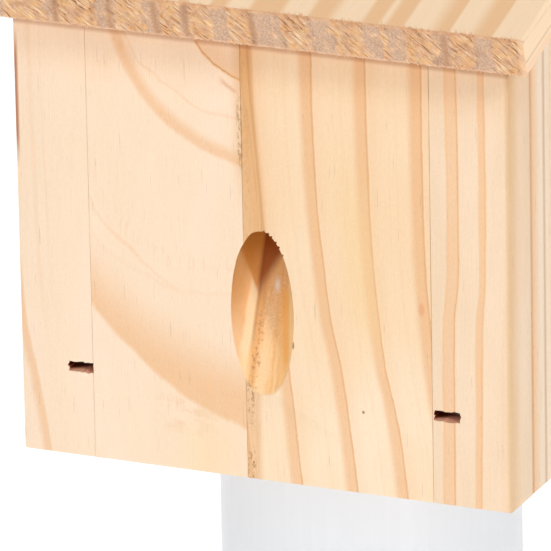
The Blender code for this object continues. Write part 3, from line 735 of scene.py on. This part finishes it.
def make_board(label, staves, low_y, high_y, seams, cuts, node, proud=0):
    """A board glued up from staves. cuts are the solids to carve out of each stave, and proud is how
    far the inner staves stand out of its back."""
    edges = [-SIDE_X, *(at * MM for at in seams), SIDE_X]
    glue = 0.01 * MM
    for number, (low_x, high_x, look, cutters) in enumerate(zip(edges, edges[1:], staves, cuts), 1):
        low_x += glue if number > 1 else 0
        high_x -= glue if number < len(staves) else 0
        deep = high_y + (proud if 1 < number < len(staves) else 0)
        stave = add_object(f"{label}_stave_{number}", stave_mesh(low_x, high_x, low_y, deep), look)
        if cutters:
            carve(stave, *cutters)
        smooth_small_faces(stave)
        stand_in(stave, "stand", "planed_pine", node)
    for cutter in dict.fromkeys(cutter for cutters in cuts for cutter in cutters):
        bpy.data.objects.remove(cutter)


def staple_slots(end, face_y, inward, draw):
    """The two slots on one face, left and right."""
    names = [f"{end}_{hand}" for hand in HANDS]
    return [slot_cutter(f"{name}_slot", f"{name}_staple", face_y, inward, draw) for name in names]


def front_looks():
    """The four staves of the front board, from the left."""
    left_seam, right_seam = seam_line(SEAMS[0], 0.3), seam_line(SEAMS[2], 0.5)
    stain = [seam_stain, seam_line(SEAMS[1], 0.34, 0.3)]
    red_spot = spot(49.7, 58.5, 1.2, 2.4, 0.35, (226, 128, 84))
    dark_speck = spot(31.2, 25, 0.5, 0.6, 0.75, BARK)
    rim_nick = spot(9.5, 42.6, 0.45, 1.4, 0.8, (140, 82, 42))
    left_slot, right_slot = slot_wood_and_shadow("front_left_staple"), slot_wood_and_shadow("front_right_staple")
    deep = {"early": (250, 220, 184), "pale": (252, 226, 195)}
    right = {"early": (241, 212, 179), "pale": (245, 217, 187)}
    first = [left_seam, left_edge_streak, left_slot, eave_shade]
    second = [left_seam, left_slot, *stain, resin_streak, lower_haze, smudges, eave_shade, drilled]
    third = [yellow_haze, browned, *stain, bark_specks, right_seam, dark_speck, red_spot, rim_nick]
    third += [right_slot, eave_shade, drilled]
    fourth = [right_seam, corner_shade, right_slot, eave_shade, joint_lines(PANEL / MM)]
    return [
        pine("front_stave_1_pine", outer_stave_rings, marks=first),
        pine("front_stave_2_pine", arched_stave_rings, marks=second),
        pine("front_stave_3_pine", bored_stave_rings, marks=third, **deep),
        pine("front_stave_4_pine", right_stave_rings, marks=fourth, **right),
    ]


def make_front():
    """The front board. Its inner staves stand proud at the back, to hide the drill's exit."""
    port, notches = port_cutter(), notch_cutters()
    left_slot, right_slot = staple_slots("front", FRONT_Y, 1, random.Random(11))
    cuts = [[left_slot], [left_slot, port], [right_slot, *notches, port], [right_slot]]
    make_board("front", front_looks(), FRONT_Y, FRONT_Y + PANEL, SEAMS, cuts, "front_panel", 1.4 * MM)


def make_back():
    """The back board, glued up from three staves."""
    seams = [-31, 22.5]
    left_slot, right_slot = staple_slots("back", BACK_Y, -1, random.Random(12))
    lines = [seam_line(at, 0.4) for at in seams]
    holes = [slot_wood_and_shadow(f"back_{hand}_staple", BACK_Y, -1) for hand in HANDS]
    looks = [
        pine("back_stave_1_pine", plain_rings((-90, 190), 11), marks=[lines[0], holes[0]]),
        pine("back_stave_2_pine", plain_rings((-4, 290), 6, 0.7, 0.03), marks=lines),
        pine("back_stave_3_pine", plain_rings((140, 120), 8.5, 0.85), marks=[lines[1], holes[1]]),
    ]
    cuts = [[left_slot], [], [right_slot]]
    make_board("back", looks, BACK_Y - PANEL, BACK_Y, seams, cuts, "back_panel")


# ---- the roof
# The roof's latewood rings, in millimetres from its middle: where each starts, is full, wanes and ends.
ROOF_RINGS = [
    (-79.5, -77, -74.5, -73.5),
    (-62.5, -60, -57.5, -56.5),
    (-46.5, -43, -39.8, -38.8),
    (-31.5, -28, -25.2, -24.5),
    (-19.5, -18, -16.2, -15.6),
    (-9.8, -8, -5, -2.5),
    (2.5, 4.6, 12, 14.5),
    (20.8, 23.2, 27, 31),
    (37.2, 39.5, 43, 44.5),
    (44.6, 46.3, 50, 51.2),
    (57, 62.5, 64.2, 65),
    (69.5, 74, 77, 78),
]
DARK_RINGS = [-57.8, -40.8, -26.3, -16.9, 3.8, 62.9]  # where a ring shows darkest on the sawn end
SAW_ANGLE = math.radians(42)  # how far the saw's scratches fall to the right


def slope_place(along, up):
    """Y and Z of a point, given how far it is along the roof's underside and how far up from it."""
    lean, rise = math.sin(ROOF_PITCH), math.cos(ROOF_PITCH)
    front_y = FRONT_Y - ROOF_OVERHANG
    return front_y + along * rise - up * lean, under_roof(front_y) + along * lean + up * rise


def softness_at(x):
    """How soft the wood is at x millimetres, from 0 in latewood to 1. The saw tears soft wood."""
    late = 0
    for start, full, hold, end in ROOF_RINGS:
        late += max(0, min(1, (x - start) / (full - start), (end - x) / (end - hold)))
    return 1 - late


def sawn_height(x, up):
    """How far the sawn end is from flat, in millimetres, negative where wood was torn out."""
    with_cut = x * math.cos(SAW_ANGLE) - up * math.sin(SAW_ANGLE)
    over_cut = x * math.sin(SAW_ANGLE) + up * math.cos(SAW_ANGLE)
    soft = 0.3 + 0.7 * softness_at(x)
    scratch = noise.noise(Vector((with_cut * 0.3, over_cut * 1.6, 1)))
    fine = noise.noise(Vector((with_cut * 0.9, over_cut * 3.2, 8)))
    patch = noise.noise(Vector((x * 0.13, up * 0.2, 3)))
    torn = max(0, noise.noise(Vector((with_cut * 0.45, over_cut * 1.1, 5))) - 0.08)
    return soft * (0.3 * scratch + 0.16 * fine - 1.3 * torn) + 0.12 * patch


def roof_stations(half, radius):
    """Places along X, each with how far the rounded side edges have drawn in there."""
    turns = [math.radians(11.25 * i) for i in range(9)]
    ends = [(half - radius * (1 - math.cos(turn)), radius * (1 - math.sin(turn))) for turn in turns]
    flat = half - radius
    middle = [(flat * (2 * i / 620 - 1), 0) for i in range(1, 620)]
    return [(-x, shrink) for x, shrink in ends] + middle + [(x, shrink) for x, shrink in reversed(ends)]


def roof_section(x, shrink):
    """The roof's outline at one x, as Y and Z, finely divided over the sawn front end."""
    layers = 40
    length = (BACK_Y - FRONT_Y + ROOF_OVERHANG) / math.cos(ROOF_PITCH)
    calm = min(1, (ROOF_HIGH.x - abs(x)) / (2 * MM))
    points = []
    for j in range(layers + 1):
        share = j / layers
        up = ROOF_THICKNESS * share
        height = sawn_height(x / MM, up / MM) * MM * calm
        if min(share, 1 - share) < 0.05:
            ragged = noise.noise(Vector((x / MM * 1.5, 9 + share, 2))) * calm
            height += 0.14 * MM * ragged - 0.12 * MM
            up += (0.16 if share > 0.5 else -0.16) * MM * ragged
        up = min(max(up, shrink), ROOF_THICKNESS - shrink) if shrink else up
        points.append(slope_place(max(-0.25 * MM, -height) + shrink * 1.4, up))
    flats = (0.6 * MM, 2 * MM, length * 0.5)
    low = under_roof(BACK_Y)
    high = low + ROOF_THICKNESS / math.cos(ROOF_PITCH)
    points += [slope_place(along, ROOF_THICKNESS - shrink) for along in flats]
    points += [(BACK_Y - EASE, high - shrink - EASE * 0.15), (BACK_Y - shrink, high - EASE)]
    points += [(BACK_Y - shrink, low + EASE), (BACK_Y - EASE, low + shrink)]
    points += [slope_place(along, shrink) for along in reversed(flats)]
    return points


def roof_mesh():
    """The roof board as a loft along X."""
    bm = bmesh.new()
    stations = roof_stations(ROOF_HIGH.x, 0.9 * MM)
    loft(bm, [[(x, y, z) for y, z in roof_section(x, shrink)] for x, shrink in stations])
    return bm


def add_sliver(bm, root, tip, width, sag):
    """A torn fibre: a thin three-sided strip from its root to its pointed tip."""
    steps = 3
    out = Vector((0, -1, 0))
    side = (tip - root).cross(out).normalized()
    loops = []
    for i in range(steps + 1):
        share = i / steps
        half = (width * (1 - share) + 0.05 * MM) / 2
        centre = root.lerp(tip, share) + out * (sag * math.sin(math.pi * share))
        loops.append([centre + step * half for step in (side, -side, out)])
    loft(bm, loops)


def fibre_place(draw):
    """Where a fibre starts, how long it is, which way it points, and how far its tip lifts."""
    kind = draw.random()
    if kind < 0.6:
        leans = (draw.uniform(60, 95), draw.uniform(95, 160), draw.uniform(110, 150))
        lean = math.radians(draw.choice(leans))
        return draw.uniform(10.6, 11.9), draw.uniform(0.5, 2.4), lean, draw.uniform(-0.2, 0.4)
    if kind < 0.72:
        up, length = draw.uniform(0.3, 1.4), draw.uniform(0.6, 1.5)
        return up, length, math.radians(draw.uniform(-75, -25)), draw.uniform(0, 0.3)
    way = draw.choice((-1, 1))
    angle = -SAW_ANGLE + math.radians(draw.uniform(-14, 14)) + (math.pi if way < 0 else 0)
    return draw.uniform(1.5, 10.5), draw.uniform(1.2, 3.8), angle, draw.uniform(0.2, 0.7)


def roof_fibres():
    """The fibres that the saw tore loose, most of them from soft wood and from the end's top edge."""
    draw = random.Random(23)
    bm = bmesh.new()
    wanted = 900
    made = 0
    while made < wanted:
        x = draw.uniform(-ROOF_HIGH.x / MM + 1, ROOF_HIGH.x / MM - 1)
        up, length, angle, lift = fibre_place(draw)
        width = draw.uniform(0.18, 0.42) * MM
        sag = draw.uniform(-0.05, 0.25) * MM
        if draw.random() > 0.15 + 0.85 * softness_at(x):
            continue
        root = Vector((x * MM, *slope_place(0.15 * MM, up * MM)))
        reach = Vector((math.cos(angle), math.sin(angle))) * length
        tip = Vector(((x + reach.x) * MM, *slope_place(-lift * MM, (up + reach.y) * MM)))
        add_sliver(bm, root, tip, width, sag)
        made += 1
    return bm


def roof_late(g):
    """Where a point lies across the roof's wavering rings, and how much latewood it has. The rings
    stand upright in the board and run from front to back."""
    waver = (g.grain(0.08, 0.012, 0.05, detail=3) - 0.5) * 2.2
    x = g.x + waver
    late = 0
    for start, full, hold, end in ROOF_RINGS:
        late = late + g.rise(x, start, full) * g.rise(x, end, hold)
    return x, late


def sawn_end(g, x, late):
    """The sawn end's colour, pinkish grey in latewood and orange in soft wood, with painted highlights
    along its edges, and its relief.
    """
    turned = (g.noise(g.x * 0.1, 2, g.z * 0.1, detail=1) - 0.5) * 1.6
    with_cut = g.x * math.cos(SAW_ANGLE) - g.z * math.sin(SAW_ANGLE)
    over_cut = g.x * math.sin(SAW_ANGLE) + g.z * math.cos(SAW_ANGLE) + turned
    gaps = g.noise(with_cut * 0.08, g.y * 0.3, over_cut * 2.3, detail=2, rough=0.5)
    strands = g.noise(with_cut * 0.15 + 9, g.y * 0.3, over_cut * 2.6, detail=2, rough=0.5)
    dust = g.grain(1.6, 1.6, 1.6, detail=4, rough=0.7)
    warm = g.noise(g.x * 0.35, 6, g.z * 0.35, detail=2)
    torn = g.mix(g.rise(warm, 0.4, 0.62), (231, 184, 147), (240, 189, 136))
    torn = g.mix(g.rise(strands, 0.53, 0.63) * 0.9, torn, (255, 225, 184))
    torn = g.mix(g.rise(gaps, 0.42, 0.33) * 0.85, torn, (152, 84, 38))
    smooth = g.mix(g.rise(dust, 0.42, 0.66), (202, 163, 136), (229, 195, 165))
    smooth = g.mix(g.rise(gaps, 0.4, 0.34) * 0.5, smooth, (186, 138, 108))
    dark = 0
    for at in DARK_RINGS:
        dark = dark + g.hump(x, at, 1.8)
    blotches = (g.noise(g.x * 0.4, 7, g.z * 0.3, detail=4) - 0.5) * 3.4
    end = g.mix(g.rise(late + blotches, 0.15, 0.95), torn, smooth)
    end = g.mix(dark * 0.6, end, (184, 132, 92))
    # Painted highlight along the lower edge, where the eased edge catches the light.
    end = g.mix(g.rise(g.z, 0.9, 0.3) * 0.6, end, (244, 202, 168))
    # The top edge: partly the orange of torn fibres, partly painted light over its shaded edge.
    end = g.mix(g.rise(g.z, 11, 11.7) * 0.6, end, (240, 190, 146))
    # Painted light at the end's rounded corners, over the shade they turn into.
    end = g.mix(g.rise(g.size(g.x), 84.8, 86) * 0.6, end, (246, 206, 168))
    relief = ((gaps - 0.5) * 0.8 + (strands - 0.5) * 0.6) * g.rise(late, 1, 0.2, 0.35, 1)
    return end, relief + (dust - 0.5) * 0.25


def roof_pine():
    """Pine with its grain from front to back on the faces, and its sawn end."""
    front = Vector((0, *slope_place(0, 0)))
    g = Graph("roof_pine", front, (ROOF_PITCH, 0, 0))
    x, late = roof_late(g)
    streaks = g.grain(2.2, 0.06, 2.2, detail=5, rough=0.75)
    fibres = g.grain(7, 0.3, 7, detail=3)
    face = g.mix(late * g.rise(streaks, 0.3, 0.6, 0.75, 1.05), (252, 221, 185), (240, 194, 147))
    past_side = g.rise(g.size(g.x), 86.2, 86.8)
    face = g.mix(past_side * g.hump(g.z, 4.4, 0.6) * 0.4, face, (190, 140, 98))
    face = g.mix(past_side * g.rise(g.z, 4, 2) * 0.5, face, (250, 206, 170))
    face = g.shade(face, 1 + (streaks - 0.5) * 0.16 + (fibres - 0.5) * 0.06)
    end, relief = sawn_end(g, x, late)
    at_end = g.rise(g.y, 0.9, 0.3)
    g.bump(relief * at_end * 0.7 + streaks * 0.05 + fibres * 0.02, 0.9)
    return g.finish(g.mix(at_end, face, end), g.rise(at_end, 0, 1, 0.6, 0.85), Specular_IOR_Level=0.25)


def make_roof():
    pine_look = roof_pine()
    for name, bm in (("sawn_roof", roof_mesh()), ("roof_fibres", roof_fibres())):
        stand_in(add_object(name, bm, pine_look, 40), "roof", "sawn_pine", "roof_board")


# ---- metals, plastics and rubber
def metal(name, colour, roughness, scratch=0.08, tarnish=None):
    """Bare or plated metal with fine scratches, finger marks and duller patches."""
    g = Graph(name)
    patches = g.grain(0.25, 0.25, 0.25, detail=3)
    lines = g.grain(6, 1.2, 6, detail=4, rough=0.7)
    tint = g.mix(g.rise(patches, 0.4, 0.75) * 0.5, colour, tarnish or colour)
    tint = g.shade(tint, 1 + (lines - 0.5) * scratch)
    g.bump(lines * 0.01, 0.6)
    rough = patches * 0.18 + lines * 0.1 + (roughness - 0.14)
    return g.finish(tint, rough, Metallic=1)


def pipe_plastic():
    """White pipe: extruded, so it has the faintest lines along it, and a soft sheen with scuffs."""
    g = Graph("white_pipe_plastic")
    angle = g.math("ARCTAN2", g.y, g.x)
    lines = g.noise(angle * 26, 0, g.z * 0.004, detail=3)
    scuffs = g.grain(0.3, 0.3, 0.05, detail=5, rough=0.7)
    colour = g.shade((231, 235, 240), 1 + (lines - 0.5) * 0.02)
    colour = g.mix(g.rise(scuffs, 0.62, 0.78) * 0.05, colour, (200, 198, 192))
    g.bump(lines * 0.008, 0.5)
    return g.finish(colour, g.rise(scuffs, 0.3, 0.8, 0.29, 0.35), Specular_IOR_Level=0.24)


def powder_coat():
    """White powder coat: orange peel, a little dust."""
    g = Graph("white_powder_coat")
    peel = g.grain(0.9, 0.9, 0.9, detail=2)
    dust = g.grain(0.04, 0.04, 0.04, detail=4)
    colour = g.mix(g.rise(dust, 0.45, 0.75) * 0.3, (232, 232, 232), (214, 211, 204))
    g.bump(peel * 0.05, 0.6)
    return g.finish(colour, g.rise(dust, 0.3, 0.7, 0.34, 0.5))


def grey_plastic():
    g = Graph("grey_plastic")
    grain = g.grain(2, 2, 2, detail=3)
    colour = g.shade((150, 153, 158), 1 + (grain - 0.5) * 0.08)
    g.bump(grain * 0.04, 0.5)
    return g.finish(colour, grain * 0.2 + 0.4)


def rubber():
    g = Graph("black_rubber")
    grain = g.grain(1.5, 1.5, 1.5, detail=4)
    colour = g.mix(g.rise(grain, 0.5, 0.7) * 0.4, (38, 38, 39), (66, 64, 61))
    g.bump(grain * 0.06, 0.7)
    return g.finish(colour, grain * 0.2 + 0.65)


def plywood():
    """Five veneers, seen as lines on the edges, with grain along the face."""
    g = Graph("ramp_plywood", (0, 0, 0), (math.radians(32), 0, 0))
    share = g.math("FRACT", g.z / 1.2)
    veneer = g.rise(share, 0.45, 0.55)
    grain = g.grain(1.6, 0.06, 1.6, detail=4, rough=0.7)
    figure = g.grain(0.12, 0.012, 0.4, detail=3, twist=0.6)
    colour = g.mix(veneer * 0.35, (226, 196, 152), (196, 156, 110))
    colour = g.mix(g.rise(figure, 0.5, 0.62) * 0.35, colour, (204, 160, 110))
    colour = g.shade(colour, 1 + (grain - 0.5) * 0.2)
    g.bump(grain * 0.06, 0.7)
    return g.finish(colour, grain * 0.15 + 0.6)


def dress(material, slot, *nodes):
    """A CAD node whose shape is right keeps it, with a finished material."""
    for name in nodes:
        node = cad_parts[name]
        node.data.materials.clear()
        node.data.materials.append(material)


def soften(width, *nodes):
    """A fine round on a CAD node's hard edges."""
    for name in nodes:
        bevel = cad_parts[name].modifiers.new("edge", "BEVEL")
        bevel.width = width
        bevel.segments = 2
        bevel.limit_method = "ANGLE"
        bevel.angle_limit = math.radians(40)


def numbered(name, count):
    return [f"{name}_{number}" for number in range(1, count + 1)]


def dress_hardware():
    zinc = metal("zinc_plate", (196, 198, 202), 0.36, tarnish=(160, 162, 164))
    brass = metal("brass", (214, 178, 104), 0.32, tarnish=(176, 136, 70))
    screws = numbered("back_hinge_screw", 4) + numbered("roof_hinge_screw", 4)
    screws += numbered("plug_screw", 3) + numbered("floor_screw", 4) + numbered("set_screw", 3)
    staples = [f"{end}_{hand}_staple" for end in ("front", "back") for hand in HANDS]
    hinges = []
    hooks = []
    for hand in HANDS:
        hinges += [f"{hand}_hinge_{part}" for part in ("fixed_leaf", "roof_leaf", "pin")]
        hooks += [f"{hand}_hook", f"{hand}_hook_screw", f"{hand}_hook_spacer", f"{hand}_roof_peg"]
    # The staples get a dark brown copy of the zinc plate: painted shade for the shadow deep in their
    # slots.
    shaded_staple_zinc = metal("staple_zinc_painted_dark", (88, 74, 66), 0.6, tarnish=(58, 44, 36))
    dress(zinc, "zinc_plated_steel", *screws, *hinges)
    dress(shaded_staple_zinc, "zinc_plated_steel", *staples)
    dress(brass, "brass", *hooks)
    soften(0.2 * MM, *(name for name in hinges if name.endswith("leaf")), "left_hook", "right_hook")


def dress_stand():
    dress(pipe_plastic(), "white_plastic_pipe", "post_tube")
    dress(grey_plastic(), "grey_plastic", "post_plug")
    dress(powder_coat(), "white_powder_coat", "base_plate", "socket_collar")
    dress(rubber(), "black_rubber", *numbered("foot", 4))
    soften(0.8 * MM, "base_plate", "socket_collar")


def dress_boards():
    side = {"early": (243, 220, 193), "pale": (245, 222, 197)}
    lines = joint_lines(PANEL / MM, 26.3)
    left = pine("left_side_pine", plain_rings((-20, 45), 8), marks=[joint_lines(PANEL / MM)], **side)
    right = pine("right_side_pine", plain_rings((40, 60), 9.5, 0.9), marks=[lines], **side)
    inner = pine("inner_pine", plain_rings((90, -60), 7))
    dress(left, "planed_pine", "left_side")
    dress(right, "planed_pine", "right_side")
    cleats = [f"{hand}_ramp_cleat" for hand in HANDS]
    dress(inner, "planed_pine", "floor_board", *cleats)
    dress(plywood(), "plywood", "seed_ramp")
    soften(0.4 * MM, "left_side", "right_side", "floor_board", "seed_ramp", *cleats)


# ---- floor, light and camera
WHITE = (255, 255, 255)


def studio_white(name, glow):
    """Matt white that glows a little, so that it comes out white in the picture."""
    g = Graph(name)
    g.feed(g.shader, Emission_Color=WHITE, Emission_Strength=glow)
    return g.finish((247, 247, 247), 0.9, Specular_IOR_Level=0)


def make_floor():
    """A white floor that curves up into a low wall far away, so that no view finds an edge."""
    steps = 96
    flat_radius, bend_starts, bend, wall_height = 18, 24, 2, 3.4  # metres
    profile = [(flat_radius, 0)]
    for i in range(9):
        turn = math.radians(90 * i / 8)
        profile.append((bend_starts + bend * math.sin(turn), bend - bend * math.cos(turn)))
    profile.append((bend_starts + bend, wall_height))
    turns = [math.tau * i / steps for i in range(steps)]
    spokes = [Vector((math.cos(turn), math.sin(turn), 0)) for turn in turns]
    bm = bmesh.new()
    loops = []
    for radius, height in profile:
        loops.append([bm.verts.new(spoke * radius + Vector((0, 0, height))) for spoke in spokes])
    bm.faces.new(loops[0])
    for inner, outer in zip(loops, loops[1:]):
        for i in range(steps):
            k = (i + 1) % steps
            face = bm.faces.new((inner[i], inner[k], outer[k], outer[i]))
            face.material_index = 1 if inner is not loops[0] else 0
    floor = add_object("studio_floor", bm, studio_white("studio_floor_white", 0.33), 40)
    floor.data.materials.append(studio_white("studio_wall_white", 0.55))


def add_sun(name, azimuth, elevation, strength, softness):
    """A distant soft light. Azimuth is measured from straight in front of the box towards its right."""
    light = bpy.data.lights.new(name, "SUN")
    light.energy = strength
    light.angle = math.radians(softness)
    sun = place(name, light)
    turn, height = math.radians(azimuth), math.radians(elevation)
    level = Vector((math.sin(turn), -math.cos(turn), 0))
    towards = level * math.cos(height) + Vector((0, 0, math.sin(height)))
    sun.rotation_euler = towards.to_track_quat("Z", "Y").to_euler()
    return sun


def add_strip(name, azimuth, glow):
    """A tall narrow lamp low in front of the pole, for the soft upright gleam. Cameras don't see it."""
    distance, height = 1.5, 0.3
    light = bpy.data.lights.new(name, "AREA")
    light.shape = "RECTANGLE"
    light.size, light.size_y = 0.28, 0.9
    light.energy = glow * math.pi * light.size * light.size_y
    strip = place(name, light)
    turn = math.radians(azimuth)
    strip.location = (distance * math.sin(turn), -distance * math.cos(turn), height)
    strip.rotation_euler = (math.radians(90), 0, turn)
    strip.visible_camera = False
    return strip


def link_light(lamp, state, *nodes):
    """The lamp lights only these nodes, or all but these."""
    receivers = bpy.data.collections.new(f"{lamp.name}_receivers")
    for name in nodes:
        receivers.objects.link(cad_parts[name])
    for item in receivers.collection_objects:
        item.light_linking.link_state = state
    lamp.light_linking.receiver_collection = receivers


def make_light():
    """A soft studio: a world that is brightest in front of the box, a soft lamp overhead, a smaller one
    at the right that leaves out the pole, and a strip that lights only the pole."""
    world = bpy.data.worlds.new("studio")
    bpy.context.scene.world = world
    world.use_nodes = True
    nodes, links = world.node_tree.nodes, world.node_tree.links
    sky = nodes["Background"]
    sky.inputs["Color"].default_value = (1, 1, 1, 1)
    where = nodes.new("ShaderNodeTexCoord")
    facing = nodes.new("ShaderNodeVectorMath")
    facing.operation = "DOT_PRODUCT"
    facing.inputs[1].default_value = Vector((0.05, -1, 0.25)).normalized()
    level = nodes.new("ShaderNodeMapRange")
    level.interpolation_type = "SMOOTHSTEP"
    turned_away, facing_it, dim, bright = -0.15, 1, 0.08, 0.755
    for socket, value in zip(list(level.inputs)[1:5], (turned_away, facing_it, dim, bright)):
        socket.default_value = value
    links.new(where.outputs["Generated"], facing.inputs[0])
    links.new(facing.outputs["Value"], level.inputs[0])
    links.new(level.outputs[0], sky.inputs["Strength"])
    link_light(add_sun("key_right", 55, 35, 0.85, 12), "EXCLUDE", "post_tube")
    add_sun("overhead", 180, 75, 1.2, 50)
    link_light(add_strip("strip_right", 48.7, 5), "INCLUDE", "post_tube")


def make_camera():
    """A long lens from the front right, a little above, on the box's front and the top of the pole."""
    yaw, pitch, roll = (math.radians(angle) for angle in (24.07, 19.01, -1.11))
    target = Vector((4.4 * MM, FRONT_Y, BOX_BOTTOM + 63.3 * MM))
    distance = 2.439
    back = Vector((math.sin(yaw) * math.cos(pitch), -math.cos(yaw) * math.cos(pitch), math.sin(pitch)))
    level = Vector((math.cos(yaw), math.sin(yaw), 0))
    upright = back.cross(level)
    right = level * math.cos(roll) + upright * math.sin(roll)
    up = upright * math.cos(roll) - level * math.sin(roll)
    data = bpy.data.cameras.new("camera")
    data.lens = 555.7
    data.sensor_width = 36
    data.clip_start = 0.05
    data.clip_end = 1000
    camera = place("camera", data)
    aim = Matrix((right, up, back)).transposed().to_4x4()
    camera.matrix_world = Matrix.Translation(target + back * distance) @ aim
    bpy.context.scene.camera = camera


make_front()
make_back()
make_roof()
dress_boards()
dress_hardware()
dress_stand()
make_floor()
make_light()
make_camera()
bpy.context.scene.view_settings.view_transform = "Standard"
